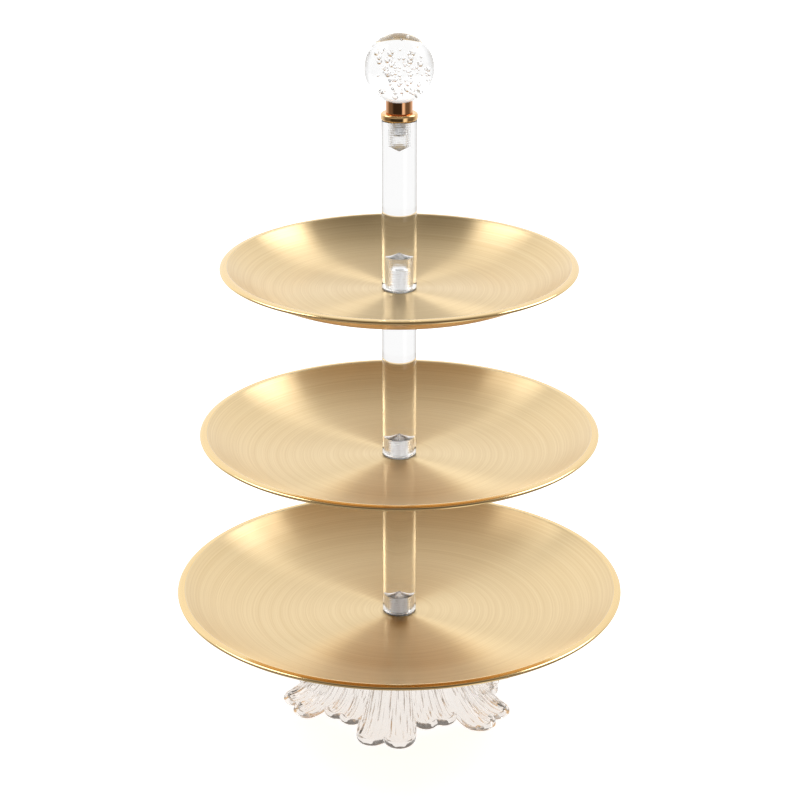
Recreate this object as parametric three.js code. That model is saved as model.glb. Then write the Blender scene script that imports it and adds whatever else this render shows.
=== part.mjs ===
// Three-tier cake stand: brushed gold plates clamped between clear acrylic rods on a ruffled glass foot.
// Millimetres, +Z up. The origin is on the table, under the rods' shared axis.
import * as THREE from "three";

// ---- Driving dimensions ----
const FOOT_HEIGHT = 50;
const UNDER_GASKET = 0.8; // between a rod or the foot and the plate above it
const SHEET = 0.8; // plate thickness
const OVER_GASKET = 0.9; // between a plate and the rod above it
const STACK = UNDER_GASKET + SHEET + OVER_GASKET;
const ROD = { radius: 9.75, length: 97.5, topLength: 95.6, chamfer: 0.4 }; // the top rod is a little shorter
const DRILL_HALF_ANGLE = THREE.MathUtils.degToRad(59); // of the cone that a twist drill leaves
const THREAD_GAP = 0.25; // radial, between a stud and its tapped hole
const STUD_CHAMFER = 0.7;
const FACE_GAP = 0.02; // between faces that are clamped together
const PLATE_STEPS = 48; // facets round each kind of turned part
const ROD_STEPS = 36;
const SMALL_STEPS = 24;

// Rim radius, depth from rim to floor, radius of the flat floor, and radius of the hole for the stud.
const PLATES = {
  bottom: { rim: 130, depth: 18.4, flat: 70, hole: 5.8 },
  middle: { rim: 114, depth: 16.3, flat: 62, hole: 5.8 },
  top: { rim: 100, depth: 14.8, flat: 58, hole: 5.3 },
};
const LIP = { width: 4, roll: 2, drop: 1.5 }; // the polished edge outside the wall, which rolls over and down

// A stud's radius and how far it enters the rod above and below. A hole's depth is to the drill's shoulder.
const LOWER_STUD = { radius: 5.45, up: 9, down: 11, holeUp: 9.4, holeDown: 11.6 };
const TOP_STUD = { radius: 4.9, up: 11.5, down: 11, holeUp: 17.8, holeDown: 11.6 };
const FINIAL_STUD = { radius: 3.9, up: 5.4, down: 8.2, holeDown: 14.5 };

const BALL_RADIUS = 18.9;
const FINIAL_RING = { radius: 10.2, height: 3.9, corner: 1.2 };
const FINIAL_NECK = { radius: 7.35, height: 6.8, bore: 4.05, seatGap: 0.1 };

const BOLT = { head: 11, headHeight: 4.5, socket: 4, socketDepth: 3 };
const WASHER = { radius: 16, cushion: 1.5, thickness: 1.6 };

// The foot's wall is drawn along its middle line. Its edge is a row of scallops. Pairs of broad ones are petals
// that stand on the table, and a pair of short ones hangs between each petal and the next.
const FOOT = {
  hubRadius: 25,
  hubThickness: 9,
  hole: 6.6,
  wall: 3.6,
  edge: 1.9, // radius of the rounded edge
  steps: 180,
  firstPetal: -97, // direction of the middle of one petal, in degrees
  petalReaches: [
    [73.5, 75],
    [75, 73.5],
    [74, 72.5],
    [73, 74],
    [72, 73.5],
    [71, 70.5],
  ],
  petalScallop: { offset: 7, halfWidth: 10 },
  lobeReach: 60,
  lobeScallop: { offset: 6, halfWidth: 8 },
  creaseReach: 54,
  creaseLift: 4.5,
  standReach: 68, // the edge is on the table where it reaches this far
};

// ---- Materials ----
const material = (color, roughness, metalness, opacity = 1) =>
  new THREE.MeshStandardMaterial({ color, roughness, metalness, opacity, transparent: opacity < 1 });
const looks = {
  gold: material(0xd9b26a, 0.3, 1),
  roseGold: material(0xc98a5c, 0.15, 1),
  acrylic: material(0xf4f7f8, 0.05, 0, 0.3),
  glass: material(0xf3f1ee, 0.05, 0, 0.35),
  silicone: material(0xe9ecec, 0.4, 0, 0.6),
  steel: material(0xb9bcc0, 0.3, 1),
  rubber: material(0x2a2a2c, 0.8, 0),
};

const stand = new THREE.Group();

function addMesh(name, geometry, look, z = 0) {
  const mesh = new THREE.Mesh(geometry, look.clone());
  mesh.name = name;
  mesh.position.z = z;
  stand.add(mesh);
}

// A solid turned about +Z from [radius, height] pairs that go up the outside.
function turned(profile, steps) {
  const points = profile.map(([r, z]) => new THREE.Vector2(r, z));
  return new THREE.LatheGeometry(points, steps).rotateX(Math.PI / 2);
}

function flatRing(inner, outer, height) {
  return turned([[inner, 0], [outer, 0], [outer, height], [inner, height], [inner, 0]], ROD_STEPS);
}

// Points of an arc about (cx, cz) from angle a0 to a1, in radians.
function arc(cx, cz, radius, a0, a1, steps) {
  const points = [];
  for (let i = 0; i <= steps; i++) {
    const a = a0 + ((a1 - a0) * i) / steps;
    points.push([cx + radius * Math.cos(a), cz + radius * Math.sin(a)]);
  }
  return points;
}

// ---- Plates ----
// Sheet with a flat floor, a wall that rises on one arc, and a lip outside it. Height 0 is the underside.
function plate({ rim, depth, flat, hole }) {
  const lipStart = rim - LIP.width;
  const run = lipStart - flat;
  const sweep = 2 * Math.atan(depth / run); // the wall starts level and meets the lip at this angle
  const bend = run / Math.sin(sweep); // radius of the wall's upper face
  const centre = SHEET + bend;
  const [floorEnd, lipEnd] = [-Math.PI / 2, -Math.PI / 2 + sweep];
  const wallUnder = arc(flat, centre, bend + SHEET, floorEnd, lipEnd - SHEET / bend, 5);
  const wallOver = arc(flat, centre, bend, lipEnd, floorEnd, 5);
  const top = SHEET + depth;
  return turned(
    [
      [hole, 0],
      ...wallUnder,
      [rim - 0.5, top - LIP.drop - SHEET / 2],
      [rim, top - LIP.drop],
      [rim - 0.3 * LIP.roll, top - LIP.drop / 3],
      [rim - LIP.roll, top - 0.1],
      ...wallOver,
      [hole, SHEET],
      [hole, 0],
    ],
    PLATE_STEPS,
  );
}

// ---- Rods and studs ----
// A clear rod with a blind hole in each end, given as { radius, depth }. Height 0 is its foot.
function rod(length, lower, upper) {
  const cone = (radius) => radius / Math.tan(DRILL_HALF_ANGLE);
  const lowerRadius = lower.radius + THREAD_GAP;
  const upperRadius = upper.radius + THREAD_GAP;
  const upperShoulder = length - upper.depth;
  return turned(
    [
      [0, lower.depth + cone(lowerRadius)],
      [lowerRadius, lower.depth],
      [lowerRadius, 0],
      [ROD.radius - ROD.chamfer, 0],
      [ROD.radius, ROD.chamfer],
      [ROD.radius, length - ROD.chamfer],
      [ROD.radius - ROD.chamfer, length],
      [upperRadius, length],
      [upperRadius, upperShoulder],
      [0, upperShoulder - cone(upperRadius)],
    ],
    ROD_STEPS,
  );
}

// A threaded pin from height -down to +up, with chamfered ends.
function stud({ radius, up, down }) {
  return turned(
    [
      [0, -down],
      [radius - STUD_CHAMFER, -down],
      [radius, -down + STUD_CHAMFER],
      [radius, up - STUD_CHAMFER],
      [radius - STUD_CHAMFER, up],
      [0, up],
    ],
    SMALL_STEPS,
  );
}

// ---- Glass foot ----
// How far one scallop of the edge reaches in a direction, in degrees.
function scallop(direction, middle, halfWidth, reach) {
  const away = THREE.MathUtils.euclideanModulo(direction - middle + 180, 360) - 180;
  return FOOT.creaseReach + (reach - FOOT.creaseReach) * Math.sqrt(Math.max(0, 1 - (away / halfWidth) ** 2));
}

// How far the edge's middle line reaches and how high the edge is lifted in a direction.
function footEdge(direction) {
  let reach = 0;
  const { petalScallop, lobeScallop } = FOOT;
  FOOT.petalReaches.forEach((reaches, i) => {
    const petal = FOOT.firstPetal + 60 * i;
    [-1, 1].forEach((side, k) => {
      const broadMiddle = petal + side * petalScallop.offset;
      const shortMiddle = petal + 30 + side * lobeScallop.offset;
      const broad = scallop(direction, broadMiddle, petalScallop.halfWidth, reaches[k]);
      const short = scallop(direction, shortMiddle, lobeScallop.halfWidth, FOOT.lobeReach);
      reach = Math.max(reach, broad, short);
    });
  });
  const lift = FOOT.creaseLift * (1 - THREE.MathUtils.smoothstep(reach, FOOT.creaseReach, FOOT.standReach));
  return { reach: reach - FOOT.edge, lift };
}

// The foot's closed section in one direction: hub, wall, rounded edge, and back up the inside.
function footSection(direction) {
  const { reach, lift } = footEdge(direction);
  const half = FOOT.wall / 2;
  const shoulder = new THREE.Vector2(FOOT.hubRadius, FOOT_HEIGHT - half);
  const edge = new THREE.Vector2(reach, FOOT.edge + lift);
  const underHub = new THREE.Vector2(37, FOOT_HEIGHT - half);
  const waist = new THREE.Vector2(8 + 0.5 * reach, 5 + lift);
  const wall = new THREE.CubicBezierCurve(shoulder, underHub, waist, edge);
  const outside = [];
  const inside = [];
  for (const t of [0.2, 0.4, 0.6, 0.8]) {
    const middle = wall.getPoint(t);
    const along = wall.getTangent(t);
    outside.push([middle.x - along.y * half, middle.y + along.x * half]);
    inside.unshift([middle.x + along.y * half, middle.y - along.x * half]);
  }
  const hubUnderside = FOOT_HEIGHT - FOOT.hubThickness;
  return [
    [FOOT.hole, FOOT_HEIGHT],
    [FOOT.hubRadius - 1, FOOT_HEIGHT],
    ...outside,
    [edge.x + 0.4, edge.y + FOOT.edge],
    [edge.x + FOOT.edge, edge.y],
    [edge.x + 0.9, lift],
    [edge.x - 0.9, lift],
    [edge.x - FOOT.edge, edge.y - 0.3],
    ...inside,
    [FOOT.hubRadius - 4, hubUnderside],
    [FOOT.hole, hubUnderside],
  ];
}

// Joins the sections round the axis into one closed shell.
function glassFoot() {
  const positions = [];
  const faces = [];
  const points = footSection(0).length;
  for (let j = 0; j < FOOT.steps; j++) {
    const direction = (360 * j) / FOOT.steps;
    const angle = THREE.MathUtils.degToRad(direction);
    for (const [r, z] of footSection(direction)) positions.push(r * Math.cos(angle), r * Math.sin(angle), z);
    const next = (j + 1) % FOOT.steps;
    for (let i = 0; i < points; i++) {
      const k = (i + 1) % points;
      const [here, below] = [j * points + i, j * points + k];
      const [beside, diagonal] = [next * points + i, next * points + k];
      faces.push(here, below, diagonal, here, diagonal, beside);
    }
  }
  const geometry = new THREE.BufferGeometry();
  geometry.setAttribute("position", new THREE.Float32BufferAttribute(positions, 3));
  geometry.setIndex(faces);
  geometry.computeVertexNormals();
  return geometry;
}

// The bolt that comes up through the hub, washers and lowest plate into the lowest rod. Height 0 is under
// its head.
function footBolt(length) {
  return turned(
    [
      [0, BOLT.socketDepth - BOLT.headHeight],
      [BOLT.socket, BOLT.socketDepth - BOLT.headHeight],
      [BOLT.socket, -BOLT.headHeight],
      [BOLT.head - 2, -BOLT.headHeight],
      [BOLT.head, 2 - BOLT.headHeight],
      [BOLT.head, 0],
      [LOWER_STUD.radius, 0],
      [LOWER_STUD.radius, length - STUD_CHAMFER],
      [LOWER_STUD.radius - STUD_CHAMFER, length],
      [0, length],
    ],
    SMALL_STEPS,
  );
}

const cushionBase = FOOT_HEIGHT - FOOT.hubThickness - WASHER.cushion - FACE_GAP;
const washerBase = cushionBase - WASHER.thickness - FACE_GAP;
const boltBase = washerBase - FACE_GAP;
const lowestRodFoot = FOOT_HEIGHT + STACK;
addMesh("glass_foot", glassFoot(), looks.glass);
addMesh("foot_cushion", flatRing(FOOT.hole, WASHER.radius, WASHER.cushion), looks.rubber, cushionBase);
addMesh("foot_washer", flatRing(PLATES.bottom.hole, WASHER.radius, WASHER.thickness), looks.steel, washerBase);
addMesh("foot_bolt", footBolt(lowestRodFoot + LOWER_STUD.up - boltBase), looks.steel, boltBase);

// ---- Tiers ----
const tiers = [
  { plate: "bottom", rod: "lower", length: ROD.length, below: LOWER_STUD, above: LOWER_STUD, gasket: 16 },
  { plate: "middle", rod: "middle", length: ROD.length, below: LOWER_STUD, above: TOP_STUD, gasket: 9.6 },
  { plate: "top", rod: "top", length: ROD.topLength, below: TOP_STUD, above: FINIAL_STUD, gasket: 9.6 },
];
tiers.forEach((tier, i) => {
  const base = FOOT_HEIGHT + i * (ROD.length + STACK);
  const hole = tier.below.radius + 0.35;
  const under = flatRing(hole, tier.gasket, UNDER_GASKET - 2 * FACE_GAP);
  const over = flatRing(hole, 9.6, OVER_GASKET - 2 * FACE_GAP);
  const lowerHole = { radius: tier.below.radius, depth: tier.below.holeUp };
  const upperHole = { radius: tier.above.radius, depth: tier.above.holeDown };
  addMesh(`${tier.plate}_plate_gasket`, under, looks.silicone, base + FACE_GAP);
  addMesh(`${tier.plate}_plate`, plate(PLATES[tier.plate]), looks.gold, base + UNDER_GASKET);
  addMesh(`${tier.rod}_rod_gasket`, over, looks.silicone, base + UNDER_GASKET + SHEET + FACE_GAP);
  addMesh(`${tier.rod}_rod`, rod(tier.length, lowerHole, upperHole), looks.acrylic, base + STACK);
});
const middleRodFoot = lowestRodFoot + ROD.length + STACK;
const topRodFoot = middleRodFoot + ROD.length + STACK;
const topRodTop = topRodFoot + ROD.topLength;
addMesh("lower_stud", stud({ ...LOWER_STUD, down: LOWER_STUD.down + STACK }), looks.steel, middleRodFoot);
addMesh("upper_stud", stud({ ...TOP_STUD, down: TOP_STUD.down + STACK }), looks.steel, topRodFoot);

// ---- Finial ----
function finialRing() {
  const { radius, height, corner } = FINIAL_RING;
  const lowCorner = arc(radius - corner, corner, corner, -Math.PI / 2, 0, 3);
  const highCorner = arc(radius - corner, height - corner, corner, 0, Math.PI / 2, 3);
  const bore = FINIAL_NECK.bore + 0.3;
  return turned([[bore, 0], ...lowCorner, ...highCorner, [bore, height], [bore, 0]], ROD_STEPS);
}

// The neck holds the stud from below and the ball in a spherical seat on top.
const seatRadius = BALL_RADIUS + FINIAL_NECK.seatGap;
const seatRise = Math.sqrt(seatRadius ** 2 - FINIAL_NECK.radius ** 2); // from the neck's rim to the centre

function finialNeck() {
  const boreTop = FINIAL_STUD.up - FINIAL_RING.height + 0.2;
  const rim = Math.asin(FINIAL_NECK.radius / seatRadius);
  const seat = arc(0, FINIAL_NECK.height + seatRise, seatRadius, rim - Math.PI / 2, -Math.PI / 2, 3);
  return turned(
    [
      [0, boreTop],
      [FINIAL_NECK.bore, boreTop],
      [FINIAL_NECK.bore, 0],
      [FINIAL_NECK.radius, 0],
      ...seat,
    ],
    ROD_STEPS,
  );
}

const ringBase = topRodTop + FACE_GAP;
const neckBase = ringBase + FINIAL_RING.height + FACE_GAP;
const ball = new THREE.SphereGeometry(BALL_RADIUS, 28, 16).rotateX(Math.PI / 2);
addMesh("finial_ring", finialRing(), looks.gold, ringBase);
addMesh("finial_neck", finialNeck(), looks.roseGold, neckBase);
addMesh("finial_stud", stud(FINIAL_STUD), looks.steel, topRodTop);
addMesh("finial_ball", ball, looks.glass, neckBase + FINIAL_NECK.height + seatRise);

export default stand;
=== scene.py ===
"""Looks for the three-tier cake stand: gold plates, clear rods, a ruffled foot and a bubble glass ball."""

import math
import random

import bpy
import numpy as np
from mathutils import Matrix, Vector


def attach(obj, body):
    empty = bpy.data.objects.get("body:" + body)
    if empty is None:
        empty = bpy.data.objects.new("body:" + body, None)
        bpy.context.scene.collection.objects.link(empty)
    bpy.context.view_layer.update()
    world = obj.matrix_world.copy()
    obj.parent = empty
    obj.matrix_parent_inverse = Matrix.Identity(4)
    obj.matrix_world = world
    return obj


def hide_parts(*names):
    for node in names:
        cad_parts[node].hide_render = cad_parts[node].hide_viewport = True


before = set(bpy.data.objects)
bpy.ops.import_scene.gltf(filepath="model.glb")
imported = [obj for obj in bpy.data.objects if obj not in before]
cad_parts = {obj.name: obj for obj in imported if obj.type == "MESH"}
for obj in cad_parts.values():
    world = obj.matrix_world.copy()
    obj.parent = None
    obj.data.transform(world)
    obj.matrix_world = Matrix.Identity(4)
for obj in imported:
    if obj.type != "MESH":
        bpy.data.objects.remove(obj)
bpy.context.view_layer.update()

MM = 0.001
TAU = 2 * math.pi
scene = bpy.context.scene

# ---- Sizes, in millimetres, as in the CAD model ----
FOOT_HEIGHT = 50
TIER_STEP = 100
UNDER_GASKET = 0.8  # between a rod or the foot and the plate above it
SHEET = 0.8  # plate thickness
STACK = 2.5  # gasket, plate and gasket between two rods
FACE_GAP = 0.02  # between faces that are clamped together
ROD_LENGTH = 97.5
TOP_ROD_LENGTH = 95.6
ROD_RADIUS = 9.75
ROD_CHAMFER = 0.4
LIP = {"width": 4, "roll": 2.0, "drop": 1.4, "crown": 0.1}  # the lip rolls over and down to its edge
DRILL_HALF_ANGLE = math.radians(59)
THREAD_GAP = 0.25  # radial, between a stud and its tapped hole
THREAD_DEPTH = 0.42  # of a stud's thread, in pitches
TAPPED_DEPTH = 0.09  # how far the worn crests of a tapped thread stand in
STUD_CHAMFER = 0.7
PLATES = {
    "bottom": {"rim": 130, "depth": 18.4, "flat": 70, "hole": 5.8},
    "middle": {"rim": 114, "depth": 16.3, "flat": 62, "hole": 5.8},
    "top": {"rim": 100, "depth": 14.8, "flat": 58, "hole": 5.3},
}
LOWER_STUD = {"radius": 5.45, "pitch": 1.5, "up": 9, "down": 11, "hole_up": 9.4, "hole_down": 11.6}
TOP_STUD = {"radius": 4.9, "pitch": 1.5, "up": 11.5, "down": 11, "hole_up": 17.8, "hole_down": 11.6}
FINIAL_STUD = {"radius": 3.9, "pitch": 1.25, "up": 5.4, "down": 8.2, "hole_down": 14.5}
FOOT = {"hub": 25, "hub_thickness": 9, "hole": 6.6, "wall": 3.6, "edge": 1.9}
WASHER = {"radius": 16, "cushion": 1.5, "thickness": 1.6}
BOLT = {"head": 11, "head_height": 4.5, "round": 3, "socket": 4, "socket_depth": 3, "tip": 61.5}
CUSHION_TOP = FOOT_HEIGHT - FOOT["hub_thickness"] - FACE_GAP
WASHER_TOP = CUSHION_TOP - WASHER["cushion"] - FACE_GAP
BOLT_SEAT = WASHER_TOP - WASHER["thickness"] - FACE_GAP
FINIAL_BASE = 348.1
BALL_RADIUS = 18.9
RING_BASE, RING_HEIGHT, RING_RADIUS, RING_CORNER = 348.12, 3.9, 10.2, 1.2
NECK_BASE, NECK_HEIGHT, NECK_RADIUS, NECK_BORE = 352.04, 6.8, 7.35, 4.05
SEAT_RADIUS = BALL_RADIUS + 0.1
SEAT_RISE = math.sqrt(SEAT_RADIUS**2 - NECK_RADIUS**2)
BALL_CENTRE = NECK_BASE + NECK_HEIGHT + SEAT_RISE

# Facets round the axis.
PLATE_STEPS = 288
ROD_STEPS = 160
RING_STEPS = 128
STUD_STEPS = 96
FOOT_STEPS = 1440


# ---- Mesh building ----
def mesh_object(name, verts, faces, material, smooth_angle=35):
    mesh = bpy.data.meshes.new(name)
    mesh.from_pydata([tuple(v) for v in verts], [], faces)
    mesh.validate()
    mesh.polygons.foreach_set("use_smooth", [True] * len(mesh.polygons))
    mesh.set_sharp_from_angle(angle=math.radians(smooth_angle))
    mesh.materials.append(material)
    mesh.update()
    obj = bpy.data.objects.new(name, mesh)
    scene.collection.objects.link(obj)
    return obj


def swept(name, section, steps, material, z=0.0, closed=True, smooth_angle=35):
    """A solid from sections round +Z. section(angle) gives [radius, height] pairs in mm, up the outside.
    An open section starts and ends on the axis."""
    first = section(0.0)
    count = len(first)
    verts, faces = [], []
    lo, hi = (0, count) if closed else (1, count - 1)
    rings = hi - lo
    for j in range(steps):
        angle = TAU * j / steps
        c, s = math.cos(angle) * MM, math.sin(angle) * MM
        for r, h in section(angle)[lo:hi]:
            verts.append((r * c, r * s, (h + z) * MM))
    for j in range(steps):
        a, b = j * rings, (j + 1) % steps * rings
        for i in range(rings if closed else rings - 1):
            k = (i + 1) % rings
            faces.append((a + i, b + i, b + k, a + k))
    if not closed:
        for end, ring in ((0, 0), (count - 1, rings - 1)):
            pole = len(verts)
            verts.append((0, 0, (first[end][1] + z) * MM))
            for j in range(steps):
                a, b = j * rings + ring, (j + 1) % steps * rings + ring
                faces.append((pole, b, a) if end == 0 else (pole, a, b))
    return mesh_object(name, verts, faces, material, smooth_angle)


def turned(name, profile, steps, material, z=0.0, closed=True, smooth_angle=35):
    return swept(name, lambda angle: profile, steps, material, z, closed, smooth_angle)


def arc(cx, cz, radius, a0, a1, steps):
    """Points on a circle from angle a0 to a1, with both ends."""
    angles = [a0 + (a1 - a0) * i / steps for i in range(steps + 1)]
    return [(cx + radius * math.cos(a), cz + radius * math.sin(a)) for a in angles]


def line(p, q, steps):
    """Points from p to q, without q."""
    return [(p[0] + (q[0] - p[0]) * i / steps, p[1] + (q[1] - p[1]) * i / steps) for i in range(steps)]


def smoothstep(x, low, high):
    t = min(1.0, max(0.0, (x - low) / (high - low)))
    return t * t * (3 - 2 * t)


def place(obj, body, slot, *nodes):
    """Hang a finished piece on its CAD body, in the place of CAD nodes."""
    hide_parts(*nodes)
    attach(obj, body)


# ---- Materials ----
def node_material(name):
    material = bpy.data.materials.new(name)
    material.use_nodes = True
    tree = material.node_tree
    shader = tree.nodes["Principled BSDF"]
    return material, tree, shader


def add(tree, kind, **values):
    node = tree.nodes.new(kind)
    for key, value in values.items():
        if key in node.inputs.keys():
            node.inputs[key].default_value = value
        else:
            setattr(node, key, value)
    return node


def math_node(tree, operation, a, b=None):
    node = tree.nodes.new("ShaderNodeMath")
    node.operation = operation
    for socket, value in zip(node.inputs, (a, b)):
        if value is None:
            continue
        if isinstance(value, (int, float)):
            socket.default_value = value
        else:
            tree.links.new(value, socket)
    return node.outputs[0]


def distance_from_axis(tree, x, y):
    squares = math_node(tree, "ADD", math_node(tree, "MULTIPLY", x, x), math_node(tree, "MULTIPLY", y, y))
    return math_node(tree, "SQRT", squares)


def ring_coordinates(tree, frequency, around):
    """A vector that varies fast with the distance from the Z axis and slowly round it, for turning marks."""
    place_in = add(tree, "ShaderNodeTexCoord")
    split = add(tree, "ShaderNodeSeparateXYZ")
    tree.links.new(place_in.outputs["Object"], split.inputs[0])
    x, y, _ = split.outputs
    radius = distance_from_axis(tree, x, y)
    safe = math_node(tree, "MAXIMUM", radius, 1e-5)
    join = add(tree, "ShaderNodeCombineXYZ")
    tree.links.new(math_node(tree, "MULTIPLY", radius, frequency), join.inputs[0])
    for socket, direction in ((1, x), (2, y)):
        turn = math_node(tree, "DIVIDE", direction, safe)
        tree.links.new(math_node(tree, "MULTIPLY", turn, around), join.inputs[socket])
    return join.outputs[0]


def ramp(tree, source, low, high, from_min=0.0, from_max=1.0):
    """A number from low to high as source goes from from_min to from_max."""
    node = add(tree, "ShaderNodeMapRange")
    tree.links.new(source, node.inputs["Value"])
    for key, value in (("From Min", from_min), ("From Max", from_max), ("To Min", low), ("To Max", high)):
        node.inputs[key].default_value = value
    return node.outputs[0]


def noise(tree, vector, **values):
    node = add(tree, "ShaderNodeTexNoise", **values)
    tree.links.new(vector, node.inputs["Vector"])
    return node.outputs["Fac"]


def object_noise(tree, scale, detail):
    return noise(tree, add(tree, "ShaderNodeTexCoord").outputs["Object"], Scale=scale, Detail=detail)


def colour_mix(tree, factor, low, high):
    """A colour that goes from low to high as factor goes from 0 to 1."""
    mix = add(tree, "ShaderNodeMix", data_type="RGBA")
    mix.inputs[6].default_value = (*low, 1)
    mix.inputs[7].default_value = (*high, 1)
    tree.links.new(factor, mix.inputs[0])
    return mix.outputs[2]


def bump_surface(tree, shader, height, strength, distance):
    bump = add(tree, "ShaderNodeBump", Strength=strength, Distance=distance)
    tree.links.new(height, bump.inputs["Height"])
    tree.links.new(bump.outputs[0], shader.inputs["Normal"])


def brushed_gold():
    """Plated steel, brushed in circles: reflections stay sharp along the marks and spread out across them."""
    material, tree, shader = node_material("brushed_gold")
    shader.inputs["Metallic"].default_value = 1
    shader.inputs["Anisotropic"].default_value = 1
    shader.inputs["Anisotropic Rotation"].default_value = 0.25
    tangent = add(tree, "ShaderNodeTangent", direction_type="RADIAL", axis="Z")
    tree.links.new(tangent.outputs[0], shader.inputs["Tangent"])
    fine = noise(tree, ring_coordinates(tree, 2600, 0.6), Scale=1.0, Detail=4.0, Roughness=0.7)
    broad = noise(tree, ring_coordinates(tree, 1100, 0.25), Scale=1.0, Detail=2.0, Roughness=0.6)
    tree.links.new(ramp(tree, fine, 0.3, 0.31, 0.3, 0.7), shader.inputs["Roughness"])
    marks = math_node(
        tree, "ADD", math_node(tree, "MULTIPLY", fine, 0.6), math_node(tree, "MULTIPLY", broad, 0.4)
    )
    tone = ramp(tree, marks, 0.2, 0.8, 0.4, 0.6)
    tint = colour_mix(tree, tone, (0.72, 0.535, 0.285), (0.86, 0.685, 0.415))
    tree.links.new(tint, shader.inputs["Base Color"])
    bump_surface(tree, shader, fine, 0.012, 0.00002)
    return material


def polished_metal(name, dark, light, roughness):
    """Bright plated metal with faint turning marks and small differences in tone."""
    material, tree, shader = node_material(name)
    shader.inputs["Metallic"].default_value = 1
    marks = noise(tree, ring_coordinates(tree, 900, 3), Scale=1.0, Detail=3.0)
    tree.links.new(ramp(tree, marks, roughness * 0.7, roughness * 1.4, 0.3, 0.7), shader.inputs["Roughness"])
    tree.links.new(colour_mix(tree, marks, dark, light), shader.inputs["Base Color"])
    return material


def clear_material(name, ior, low, high, tint=(1, 1, 1), scale=90):
    """Clear glass or plastic. Its roughness varies a little, as handling marks do."""
    material, tree, shader = node_material(name)
    shader.inputs["Transmission Weight"].default_value = 1
    shader.inputs["IOR"].default_value = ior
    shader.inputs["Base Color"].default_value = (*tint, 1)
    haze = object_noise(tree, scale, 3.0)
    tree.links.new(ramp(tree, haze, low, high, 0.35, 0.7), shader.inputs["Roughness"])
    return material


def painted_glow(material, colour, strength):
    """Painted glow: an even emission that stands in for light that clear pieces gather over more bounces than
    the renderer follows.
    """
    shader = material.node_tree.nodes["Principled BSDF"]
    shader.inputs["Emission Color"].default_value = (*colour, 1)
    shader.inputs["Emission Strength"].default_value = strength


def black_rubber():
    material, tree, shader = node_material("black_rubber")
    grain = object_noise(tree, 900.0, 4.0)
    tint = colour_mix(tree, grain, (0.012, 0.012, 0.013), (0.035, 0.035, 0.036))
    tree.links.new(tint, shader.inputs["Base Color"])
    tree.links.new(ramp(tree, grain, 0.6, 0.85), shader.inputs["Roughness"])
    bump_surface(tree, shader, grain, 0.4, 0.00008)
    return material


gold = brushed_gold()
rim_gold = polished_metal("polished_rim", (0.80, 0.58, 0.28), (0.88, 0.67, 0.36), 0.09)
# Painted shade: the plates' underside gold is darker and more orange than their top.
shaded_under_gold = polished_metal("plate_underside", (0.74, 0.44, 0.16), (0.82, 0.52, 0.22), 0.22)
ring_gold = polished_metal("ring_gold", (0.80, 0.50, 0.22), (0.88, 0.60, 0.30), 0.07)
rose_gold = polished_metal("rose_gold", (0.68, 0.32, 0.15), (0.78, 0.42, 0.22), 0.06)
steel = polished_metal("zinc_steel", (0.80, 0.81, 0.83), (0.93, 0.94, 0.95), 0.3)
# The studs inside the clear rods are steel with a painted glow, standing in for light that reaches them
# through the rods.
glowing_stud_steel = polished_metal("glowing_stud_steel", (0.80, 0.81, 0.83), (0.93, 0.94, 0.95), 0.3)
painted_glow(glowing_stud_steel, (0.86, 0.88, 0.9), 0.3)
acrylic = clear_material("clear_acrylic", 1.49, 0.0, 0.012)
bore_wall = clear_material("tapped_wall", 1.49, 0.3, 0.5, scale=700)
# Painted light on the foot: its warm tint stands in for the gold plate's reflection and the shade under the
# plate, and its faint glow for light the glass gathers.
foot_glass = clear_material("foot_glass", 1.5, 0.0, 0.02, tint=(0.87, 0.82, 0.775), scale=60)
painted_glow(foot_glass, (1.0, 0.94, 0.88), 0.022)
ball_glass = clear_material("ball_glass", 1.5, 0.0, 0.008)
silicone = clear_material("clear_silicone", 1.41, 0.25, 0.4, tint=(0.96, 0.965, 0.96), scale=300)
rubber = black_rubber()


# ---- Plates ----
def plate_profile(size):
    """The plate's section: out along the underside, round the lip, and back in along the top."""
    rim, depth, flat, hole = size["rim"], size["depth"], size["flat"], size["hole"]
    lip_start = rim - LIP["width"]
    run = lip_start - flat
    sweep = 2 * math.atan(depth / run)
    bend = run / math.sin(sweep)
    centre = SHEET + bend
    floor_end, lip_end = -math.pi / 2, -math.pi / 2 + sweep
    top = SHEET + depth
    wall_under = arc(flat, centre, bend + SHEET, floor_end, lip_end - SHEET / bend, 40)
    wall_over = arc(flat, centre, bend, lip_end, floor_end, 40)
    # The lip is level at first and then rolls over and down to its outer edge.
    roll_top = top - LIP["crown"]
    quarter = arc(0, 0, 1, 0, math.pi / 2, 14)
    crown = [(rim - LIP["roll"] * (1 - x), roll_top - LIP["drop"] * (1 - z)) for x, z in quarter]
    crown += [(lip_start + 1.3, top - LIP["crown"] / 2), (lip_start + 0.6, top)]
    edge = arc(rim - SHEET / 2, roll_top - LIP["drop"], SHEET / 2, -0.5 * math.pi, -0.1 * math.pi, 6)
    start = wall_under[-1]
    under_lip = [(start[0] + 0.8, start[1]), (rim - 1.6, start[1] - 0.1)]
    floor_under = line((hole, 0), (flat, 0), 20)
    floor_over = line((flat, SHEET), (hole, SHEET), 20) + [(hole, SHEET)]
    return floor_under + wall_under + under_lip + edge + crown + wall_over[:-1] + floor_over


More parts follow.
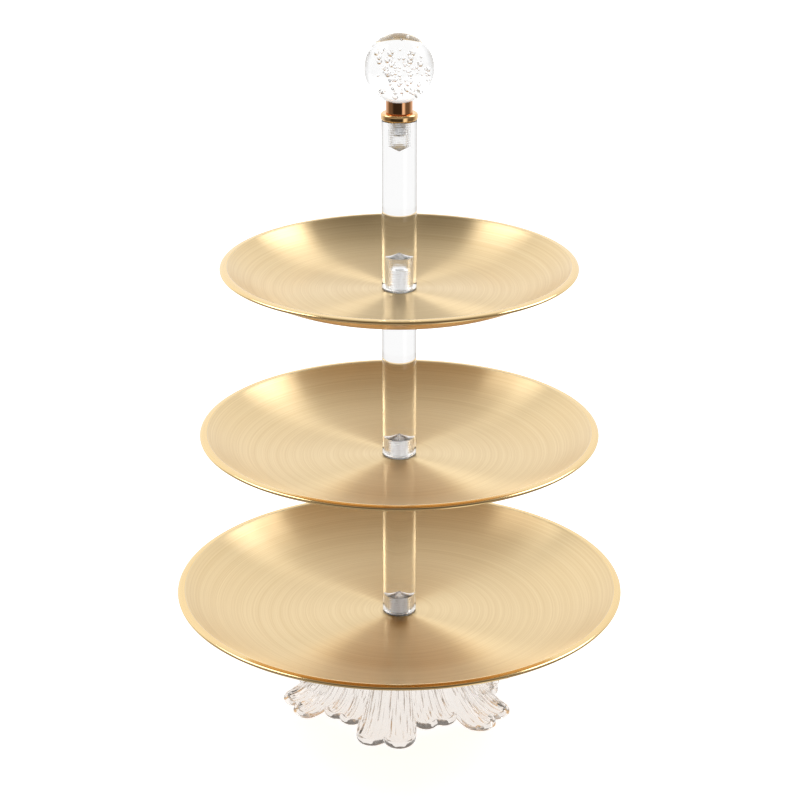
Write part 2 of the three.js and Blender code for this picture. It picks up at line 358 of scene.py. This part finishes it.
def build_plate(name, tier):
    """A plate that is brushed on top, polished round its lip, and plain underneath, where its gold is painted
    darker and more orange for the shade under the plate.
    """
    size = PLATES[name]
    z = FOOT_HEIGHT + UNDER_GASKET + TIER_STEP * tier
    obj = turned(f"{name}_plate_metal", plate_profile(size), PLATE_STEPS, gold, z, smooth_angle=60)
    obj.data.materials.append(rim_gold)
    obj.data.materials.append(shaded_under_gold)
    lip_radius = (size["rim"] - LIP["width"] - 0.3) * MM
    for polygon in obj.data.polygons:
        if math.hypot(polygon.center.x, polygon.center.y) > lip_radius:
            polygon.material_index = 1
        elif polygon.normal.z < 0:
            polygon.material_index = 2
    place(obj, f"{name}_plate", "brushed_gold", f"{name}_plate")


for tier, name in enumerate(PLATES):
    build_plate(name, tier)


# ---- Threads, studs and rods ----
def thread_wave(size, angle, height):
    """From 0 on the crest of a right-hand thread to 1 in its root. Height is from the thread's joint."""
    phase = (height / size["pitch"] - angle / TAU) % 1.0
    return abs(2 * phase - 1)


def thread_radius(size, angle, height):
    return size["radius"] - THREAD_DEPTH * size["pitch"] * thread_wave(size, angle, height)


def thread_rows(size, low, high):
    """Heights from low to high, eight to each turn of the thread."""
    count = max(2, round((high - low) / size["pitch"] * 8))
    return [low + (high - low) * i / count for i in range(count + 1)]


def build_stud(node, size, down, body, z, material):
    """A threaded rod from -down to +up about height z, with chamfered ends."""
    up = size["up"]
    rows = thread_rows(size, -down, up)

    def section(angle):
        points = [(0, -down)]
        for h in rows:
            taper = size["radius"] - STUD_CHAMFER + min(h + down, up - h)
            points.append((min(taper, thread_radius(size, angle, h)), h))
        return points + [(0, up)]

    obj = swept(f"{node}_thread", section, STUD_STEPS, material, z, closed=False, smooth_angle=50)
    place(obj, body, "steel", node)


def tapped_hole(size, depth, at_foot):
    """A tapped blind hole's rows from its mouth to the drill's tip, as a function of angle, and its depth.
    Heights are from the mouth."""
    rows = thread_rows(size, 0, depth)
    tip = (size["radius"] + THREAD_GAP) / math.tan(DRILL_HALF_ANGLE)

    def points(angle):
        made = []
        for h in rows:
            wave = thread_wave(size, angle, h if at_foot else -h)
            made.append((size["radius"] + THREAD_GAP - TAPPED_DEPTH * wave, h))
        for i in range(1, 6):
            t = i / 6
            made.append(((size["radius"] - 0.3) * (1 - t), depth + tip * t))
        return made

    return points, depth + tip


def build_rod(name, tier, length, below, above):
    """A clear rod with rounded ends, tapped for the stud below it and the stud above it."""
    lower, lower_tip = tapped_hole(below, below["hole_up"], True)
    upper, upper_tip = tapped_hole(above, above["hole_down"], False)
    corner_at = ROD_RADIUS - ROD_CHAMFER
    side_start, side_end = ROD_CHAMFER + 1, length - ROD_CHAMFER - 1
    outside = arc(corner_at, ROD_CHAMFER, ROD_CHAMFER, -math.pi / 2, 0, 6)
    outside += line((ROD_RADIUS, side_start), (ROD_RADIUS, side_end), 24)
    outside += arc(corner_at, length - ROD_CHAMFER, ROD_CHAMFER, 0, math.pi / 2, 6)

    def section(angle):
        bore_below = [(0, lower_tip)] + lower(angle)[::-1]
        bore_above = [(r, length - h) for r, h in upper(angle)] + [(0, length - upper_tip)]
        return bore_below + outside + bore_above

    z = FOOT_HEIGHT + STACK + TIER_STEP * tier
    obj = swept(f"{name}_acrylic", section, ROD_STEPS, acrylic, z, closed=False, smooth_angle=40)
    obj.data.materials.append(bore_wall)
    inside = (ROD_RADIUS - 1.5) * MM
    for polygon in obj.data.polygons:
        if math.hypot(polygon.center.x, polygon.center.y) < inside and abs(polygon.normal.z) < 0.95:
            polygon.material_index = 1
    place(obj, name, "clear_acrylic", name)


build_rod("lower_rod", 0, ROD_LENGTH, LOWER_STUD, LOWER_STUD)
build_rod("middle_rod", 1, ROD_LENGTH, LOWER_STUD, TOP_STUD)
build_rod("top_rod", 2, TOP_ROD_LENGTH, TOP_STUD, FINIAL_STUD)
joint = FOOT_HEIGHT + STACK + TIER_STEP
build_stud("lower_stud", LOWER_STUD, LOWER_STUD["down"] + STACK, "lower_rod", joint, glowing_stud_steel)
joint += TIER_STEP
build_stud("upper_stud", TOP_STUD, TOP_STUD["down"] + STACK, "middle_rod", joint, glowing_stud_steel)
build_stud("finial_stud", FINIAL_STUD, FINIAL_STUD["down"], "finial", FINIAL_BASE, steel)


# ---- Gaskets and washers ----
def washer(node, inner, outer, low, high, material, body, slot, edge=0.2):
    """A flat ring whose four edges are rounded."""
    profile = (
        arc(inner + edge, low + edge, edge, math.pi, 1.5 * math.pi, 4)
        + arc(outer - edge, low + edge, edge, -0.5 * math.pi, 0, 4)
        + arc(outer - edge, high - edge, edge, 0, 0.5 * math.pi, 4)
        + arc(inner + edge, high - edge, edge, 0.5 * math.pi, math.pi, 4)
    )
    place(turned(f"{node}_ring", profile, RING_STEPS, material), body, slot, node)


def build_gaskets(tier, plate, rod, stud, outer, under_body):
    """The silicone rings under and over one plate."""
    base = FOOT_HEIGHT + TIER_STEP * tier
    hole = stud["radius"] + 0.35
    under = (base + FACE_GAP, base + UNDER_GASKET - FACE_GAP)
    over = (base + UNDER_GASKET + SHEET + FACE_GAP, base + STACK - FACE_GAP)
    washer(f"{plate}_plate_gasket", hole, outer, *under, silicone, under_body, "clear_silicone")
    washer(f"{rod}_rod_gasket", hole, 9.6, *over, silicone, f"{rod}_rod_lift", "clear_silicone")


build_gaskets(0, "bottom", "lower", LOWER_STUD, WASHER["radius"], "foot")
build_gaskets(1, "middle", "middle", LOWER_STUD, 9.6, "lower_rod")
build_gaskets(2, "top", "top", TOP_STUD, 9.6, "middle_rod")
cushion_low = CUSHION_TOP - WASHER["cushion"]
washer("foot_cushion", 6.6, WASHER["radius"], cushion_low, CUSHION_TOP, rubber, "foot", "black_rubber", 0.4)
washer_low = WASHER_TOP - WASHER["thickness"]
washer("foot_washer", 5.8, WASHER["radius"], washer_low, WASHER_TOP, steel, "foot", "steel")


def build_bolt():
    """Low round-headed bolt with a hexagon socket, whose shank is threaded above the hub."""
    thread_start, thread_joint = 44, FOOT_HEIGHT + STACK
    head, edge, tip, shank = BOLT["head"], BOLT["round"], BOLT["tip"], LOWER_STUD["radius"]
    under = BOLT_SEAT - BOLT["head_height"]
    socket_floor = under + BOLT["socket_depth"]
    rows = thread_rows(LOWER_STUD, thread_start, tip)

    def section(angle):
        side = (angle + math.pi / 6) % (math.pi / 3) - math.pi / 6
        socket = BOLT["socket"] * math.cos(math.pi / 6) / math.cos(side)
        points = [(0, socket_floor)] + line((socket * 0.5, socket_floor), (socket, socket_floor), 2)
        points += [(socket, socket_floor), (socket, under + 0.3), (socket + 0.3, under)]
        points += arc(head - edge, under + edge, edge, -math.pi / 2, 0, 8)
        points += [(head, BOLT_SEAT - 0.2), (head - 0.2, BOLT_SEAT)]
        points += [(shank, BOLT_SEAT), (shank, thread_start - 0.5)]
        for h in rows:
            taper = shank - STUD_CHAMFER + (tip - h)
            points.append((min(taper, thread_radius(LOWER_STUD, angle, h - thread_joint)), h))
        return points + [(0, tip)]

    obj = swept("foot_bolt_thread", section, STUD_STEPS, steel, 0, closed=False, smooth_angle=40)
    place(obj, "foot", "steel", "foot_bolt")


build_bolt()

# ---- Glass foot ----
PETAL_REACHES = [(73.5, 75), (75, 73.5), (74, 72.5), (73, 74), (72, 73.5), (71, 70.5)]
PETAL_SCALLOP = (7, 10)  # offset and half width, in degrees
LOBE_SCALLOP = (6, 8)
LOBE_REACH, CREASE_REACH, CREASE_LIFT, STAND_REACH = 60, 54, 4.5, 68
MELT = 2.5  # width over which two scallops flow together
FIRST_PETAL = -97
OUTER_RIBS, INNER_RIBS, FOLDS = 90, 63, 41  # waves round the foot, each of them two ribs or one fold
OUTER_RIB_HEIGHT, INNER_RIB_HEIGHT, FOLD_HEIGHT = 0.7, 0.4, 0.15
RIB_ROOT = 0.7  # where the wall's own face lies between a rib's root, 0, and its crest, 1


def scallop(direction, middle, half_width, reach):
    away = (direction - middle + 180) % 360 - 180
    return CREASE_REACH + (reach - CREASE_REACH) * math.sqrt(max(0, 1 - (away / half_width) ** 2))


def foot_edge(direction):
    """Reach and lift of the foot's edge in one direction, in degrees: the CAD model's, with soft creases."""
    petal_offset, petal_half = PETAL_SCALLOP
    lobe_offset, lobe_half = LOBE_SCALLOP
    reaches = []
    for i, pair in enumerate(PETAL_REACHES):
        petal = FIRST_PETAL + 60 * i
        for side, reach in zip((-1, 1), pair):
            reaches.append(scallop(direction, petal + side * petal_offset, petal_half, reach))
            reaches.append(scallop(direction, petal + 30 + side * lobe_offset, lobe_half, LOBE_REACH))
    second, first = sorted(reaches)[-2:]
    reach = first + max(0, MELT - (first - second)) ** 2 / (4 * MELT)
    lift = CREASE_LIFT * (1 - smoothstep(reach, CREASE_REACH, STAND_REACH))
    return reach - FOOT["edge"], lift


def bezier(p, t):
    """Point and unit tangent of a cubic curve."""
    u = 1 - t
    weights = (u**3, 3 * u * u * t, 3 * u * t * t, t**3)
    slopes = (3 * u * u, 6 * u * t, 3 * t * t)
    point = [sum(w * q[k] for w, q in zip(weights, p)) for k in (0, 1)]
    slope = [sum(w * (p[i + 1][k] - p[i][k]) for i, w in enumerate(slopes)) for k in (0, 1)]
    size = math.hypot(*slope)
    return point, (slope[0] / size, slope[1] / size)


def ribs(angle, t):
    """How far the ribs stand out of the foot's outer and inner faces, at t down the wall from 0 to 1."""
    strength = smoothstep(t, 0.05, 0.3) * (1 - smoothstep(t, 0.93, 1.0))
    wander = 0.9 * math.sin(5 * t + 3 * angle) + 0.5 * math.sin(11 * t - 7 * angle)
    fold = FOLD_HEIGHT * math.sin(FOLDS * angle + 2 * math.sin(4 * t + 5 * angle))
    outer = OUTER_RIB_HEIGHT * (abs(math.sin(OUTER_RIBS * angle + wander)) - RIB_ROOT)
    inner = INNER_RIB_HEIGHT * (abs(math.sin(INNER_RIBS * angle - wander)) - RIB_ROOT)
    return strength * (outer + fold), strength * inner


def foot_section(angle):
    """The foot's section: out over the hub, down the outside, round the edge, and up the inside."""
    reach, lift = foot_edge(math.degrees(angle))
    half, hub, hole, edge = FOOT["wall"] / 2, FOOT["hub"], FOOT["hole"], FOOT["edge"]
    shoulder = FOOT_HEIGHT - half
    curve = ((hub, shoulder), (37, shoulder), (8 + 0.5 * reach, 5 + lift), (reach, edge + lift))
    outside, inside = [], []
    for i in range(1, 36):
        t = i / 36
        (x, z), (tx, tz) = bezier(curve, t)
        outer_rib, inner_rib = ribs(angle, t)
        outside.append((x - tz * (half + outer_rib), z + tx * (half + outer_rib)))
        inside.insert(0, (x + tz * (half + inner_rib), z - tx * (half + inner_rib)))
    bead = arc(reach, edge + lift, edge, 0.45 * math.pi, -0.40 * math.pi, 9)
    flat = [(reach + 0.7, lift), (reach - 0.7, lift)]
    bead_in = arc(reach, edge + lift, edge, -0.60 * math.pi, -0.95 * math.pi, 5)
    under = FOOT_HEIGHT - FOOT["hub_thickness"]
    hub_top = line((hole, FOOT_HEIGHT), (hub - 1, FOOT_HEIGHT), 4) + [(hub - 1, FOOT_HEIGHT)]
    hub_under = [(hub - 4, under)] + line((hub - 5, under), (hole, under), 4) + [(hole, under)]
    return hub_top + outside + bead + flat + bead_in + inside + hub_under


def build_foot():
    def section(angle):
        return foot_section(angle)[::-1]

    obj = swept("foot_glass_body", section, FOOT_STEPS, foot_glass, smooth_angle=50)
    place(obj, "foot", "foot_glass", "glass_foot")


build_foot()


# ---- Finial ----
BUBBLES = 95
BUBBLE_SPREAD = 15.5  # how far from the ball's centre a bubble may reach


def build_ring():
    """The polished ring between the rod and the neck."""
    bore = NECK_BORE + 0.3
    corner_at = RING_RADIUS - RING_CORNER
    profile = line((bore, 0), (corner_at, 0), 3)
    profile += arc(corner_at, RING_CORNER, RING_CORNER, -math.pi / 2, 0, 12)
    profile += arc(corner_at, RING_HEIGHT - RING_CORNER, RING_CORNER, 0, math.pi / 2, 12)
    profile += line((corner_at - 0.2, RING_HEIGHT), (bore, RING_HEIGHT), 3) + [(bore, RING_HEIGHT)]
    obj = turned("finial_ring_metal", profile, RING_STEPS, ring_gold, RING_BASE)
    place(obj, "finial_lift", "polished_gold", "finial_ring")


def build_neck():
    """The neck, bored for the stud below and dished for the ball above."""
    bore_top = FINIAL_STUD["up"] - RING_HEIGHT + 0.2
    rim = math.asin(NECK_RADIUS / SEAT_RADIUS)
    seat = arc(0, NECK_HEIGHT + SEAT_RISE, SEAT_RADIUS, rim - math.pi / 2, -math.pi / 2, 12)
    profile = [(0, bore_top), (NECK_BORE, bore_top), (NECK_BORE, 0)]
    profile += [(NECK_RADIUS - 0.3, 0), (NECK_RADIUS, 0.3)]
    profile += line((NECK_RADIUS, 0.8), (NECK_RADIUS, NECK_HEIGHT - 0.3), 6) + seat
    obj = turned("finial_neck_metal", profile, RING_STEPS, rose_gold, NECK_BASE, closed=False)
    place(obj, "finial", "rose_gold", "finial_neck")


def unit_sphere(steps, rings):
    """Points and faces of a sphere with its poles on Z."""
    verts = [(0, 0, -1)]
    for i in range(1, rings):
        a = math.pi * i / rings - math.pi / 2
        for j in range(steps):
            b = TAU * j / steps
            verts.append((math.cos(a) * math.cos(b), math.cos(a) * math.sin(b), math.sin(a)))
    verts.append((0, 0, 1))
    faces = [(0, 1 + (j + 1) % steps, 1 + j) for j in range(steps)]
    for i in range(rings - 2):
        for j in range(steps):
            a, b = 1 + i * steps + j, 1 + i * steps + (j + 1) % steps
            faces.append((a, b, b + steps, a + steps))
    last = len(verts) - 1
    top = last - steps
    faces += [(last, top + j, top + (j + 1) % steps) for j in range(steps)]
    return np.array(verts), faces


def bubble_places():
    """Centres and radii of bubbles that keep clear of each other, thickest in the middle of the ball."""
    rng = random.Random(7)
    made = []
    while len(made) < BUBBLES:
        size = 0.45 + 0.85 * rng.random() ** 1.6
        where = Vector((rng.gauss(0, 6.4), rng.gauss(0, 6.4), rng.gauss(-1.2, 5.6)))
        if where.length + size > BUBBLE_SPREAD:
            continue
        if any((where - p).length < size + s + 0.15 for p, s in made):
            continue
        made.append((where, size))
    return made, rng


def build_ball():
    """A glass ball with air bubbles, whose walls face into the bubble."""
    verts, faces = unit_sphere(RING_STEPS, 64)
    bubble, bubble_faces = unit_sphere(24, 14)
    points = [verts * BALL_RADIUS * MM]
    places, rng = bubble_places()
    for where, size in places:
        base = sum(len(p) for p in points)
        stretch = np.array((1, 1, 0.94 + 0.12 * rng.random()))
        points.append((bubble * stretch * size + np.array(where)) * MM)
        faces += [tuple(base + v for v in reversed(face)) for face in bubble_faces]
    cloud = np.concatenate(points)
    cloud[:, 2] += BALL_CENTRE * MM
    obj = mesh_object("finial_ball_glass", cloud, faces, ball_glass, 180)
    place(obj, "finial", "ball_glass", "finial_ball")


build_ring()
build_neck()
build_ball()


# ---- Stage, light and camera ----
def build_stage():
    """A white floor that only a camera above it sees. The world's lower half stands for the lit table."""
    reach = 6
    corners = [(-reach, -reach, 0), (reach, -reach, 0), (reach, reach, 0), (-reach, reach, 0)]
    mesh = bpy.data.meshes.new("studio_floor")
    mesh.from_pydata(corners, [], [(0, 1, 2, 3)])
    floor = bpy.data.objects.new("studio_floor", mesh)
    scene.collection.objects.link(floor)
    floor.location.z = -0.0001
    material, tree, shader = node_material("studio_white")
    shader.inputs["Base Color"].default_value = (0.9, 0.9, 0.9, 1)
    shader.inputs["Roughness"].default_value = 0.9
    shader.inputs["Specular IOR Level"].default_value = 0.1
    shader.inputs["Emission Color"].default_value = (1, 1, 1, 1)
    shader.inputs["Emission Strength"].default_value = 0.8
    rays = add(tree, "ShaderNodeLightPath")
    clear = add(tree, "ShaderNodeBsdfTransparent")
    mix = add(tree, "ShaderNodeMixShader")
    side = add(tree, "ShaderNodeNewGeometry")
    from_above = math_node(tree, "SUBTRACT", rays.outputs["Is Camera Ray"], side.outputs["Backfacing"])
    tree.links.new(math_node(tree, "MAXIMUM", from_above, 0.0), mix.inputs[0])
    tree.links.new(clear.outputs[0], mix.inputs[1])
    tree.links.new(shader.outputs[0], mix.inputs[2])
    tree.links.new(mix.outputs[0], tree.nodes["Material Output"].inputs["Surface"])
    mesh.materials.append(material)


def number_mix(tree, factor, low, high):
    """A number that goes from low to high as factor goes from 0 to 1. high may be a plain number."""
    mix = add(tree, "ShaderNodeMix", data_type="FLOAT")
    tree.links.new(factor, mix.inputs[0])
    tree.links.new(low, mix.inputs[2])
    if isinstance(high, float):
        mix.inputs[3].default_value = high
    else:
        tree.links.new(high, mix.inputs[3])
    return mix.outputs[0]


def band(tree, source, start, full, fade, end):
    """A number that is 1 while source is between full and fade, and 0 outside start and end."""
    rise, fall = ramp(tree, source, 0, 1, start, full), ramp(tree, source, 1, 0, fade, end)
    return math_node(tree, "MULTIPLY", rise, fall)


def light_above(tree, x, y, z):
    """Brightness of the room above the horizon: bright behind, dimmer overhead, in front and at the sides."""
    height = ramp(tree, z, 1.14, 0.55, 0.6, 0.92)
    front = math_node(tree, "MAXIMUM", ramp(tree, y, 0.15, 1.0, -0.4, 0.4), ramp(tree, z, 0.5, 0.0, 0.3, 0.5))
    across = ramp(tree, math_node(tree, "ABSOLUTE", x), 1.0, 0.5, 0.75, 0.98)
    level = math_node(tree, "MULTIPLY", math_node(tree, "MULTIPLY", height, front), across)
    return math_node(tree, "MULTIPLY", level, ramp(tree, x, 1.03, 0.94, -0.6, 0.6))


def light_below(tree, x, y, z):
    """Brightness of the table: white behind, and dim in front apart from a bright card on the right."""
    flat = math_node(tree, "MAXIMUM", distance_from_axis(tree, x, y), 0.01)
    behind = math_node(tree, "DIVIDE", y, flat)
    side = math_node(tree, "DIVIDE", x, flat)
    card = band(tree, side, 0.36, 0.5, 0.68, 0.84)
    shade = band(tree, side, -0.92, -0.76, 0.32, 0.48)
    lit = math_node(tree, "ADD", card, 0.2)
    room = math_node(tree, "SUBTRACT", lit, math_node(tree, "MULTIPLY", shade, 0.15))
    underfoot = ramp(tree, z, 0.6, 0.0, -0.6, -0.42)
    horizon = ramp(tree, z, 0.0, 0.5, -0.18, -0.1)
    near = math_node(tree, "MAXIMUM", room, math_node(tree, "MAXIMUM", underfoot, horizon))
    return number_mix(tree, ramp(tree, behind, 0, 1, 0.05, 0.72), near, 1.0)


def build_world():
    """A white studio that the camera sees as plain white. What the object reflects has a dark ceiling and
    front, and a lit table below the horizon, which draws thin dark edges on the clear parts."""
    world = bpy.data.worlds.new("studio")
    scene.world = world
    world.use_nodes = True
    tree = world.node_tree
    background = tree.nodes["Background"]
    direction = add(tree, "ShaderNodeTexCoord")
    split = add(tree, "ShaderNodeSeparateXYZ")
    tree.links.new(direction.outputs["Generated"], split.inputs[0])
    x, y, z = split.outputs
    # Light that comes through the clear parts meets the same bright table in front as behind.
    rays = add(tree, "ShaderNodeLightPath")
    to_back = math_node(tree, "SUBTRACT", math_node(tree, "ABSOLUTE", y), y)
    y = math_node(tree, "ADD", y, math_node(tree, "MULTIPLY", rays.outputs["Is Transmission Ray"], to_back))
    below, above = light_below(tree, x, y, z), light_above(tree, x, y, z)
    level = number_mix(tree, ramp(tree, z, 0, 1, -0.06, 0.02), below, above)
    tree.links.new(level, background.inputs["Strength"])
    tint = colour_mix(tree, ramp(tree, level, 0, 1, 0.1, 0.8), (1.0, 0.86, 0.70), (1, 1, 1))
    tree.links.new(tint, background.inputs["Color"])
    seen = add(tree, "ShaderNodeBackground", Color=(1, 1, 1, 1), Strength=1.05)
    mix = add(tree, "ShaderNodeMixShader")
    tree.links.new(rays.outputs["Is Camera Ray"], mix.inputs[0])
    tree.links.new(background.outputs[0], mix.inputs[1])
    tree.links.new(seen.outputs[0], mix.inputs[2])
    tree.links.new(mix.outputs[0], tree.nodes["World Output"].inputs["Surface"])


def soft_light(name, location, power):
    """A tall softbox that faces the middle of the lower plates."""
    light = bpy.data.lights.new(name, "AREA")
    light.shape = "RECTANGLE"
    light.size, light.size_y = 0.7, 0.9
    light.energy = power
    obj = bpy.data.objects.new(name, light)
    scene.collection.objects.link(obj)
    obj.location = location
    towards = Vector((0, 0, 0.2)) - Vector(location)
    obj.rotation_euler = towards.to_track_quat("-Z", "Y").to_euler()
    obj.visible_camera = False


def build_camera():
    """A long lens from the front, looking down on the plates by about 21 degrees."""
    camera = bpy.data.cameras.new("camera")
    camera.sensor_width = 36
    camera.lens = 99.74
    camera.shift_x = 0.0009
    camera.clip_end = 50
    obj = bpy.data.objects.new("camera", camera)
    scene.collection.objects.link(obj)
    obj.location = (0, -1.1781, 0.6426)
    obj.rotation_euler = (math.radians(90 - 21.25), 0, 0)
    scene.camera = obj


build_stage()
build_world()
soft_light("left_softbox", (-1.1, 0.3, 1.5), 6.5)
soft_light("right_softbox", (1.2, 0.5, 1.4), 8.5)
build_camera()
scene.view_settings.view_transform = "Standard"
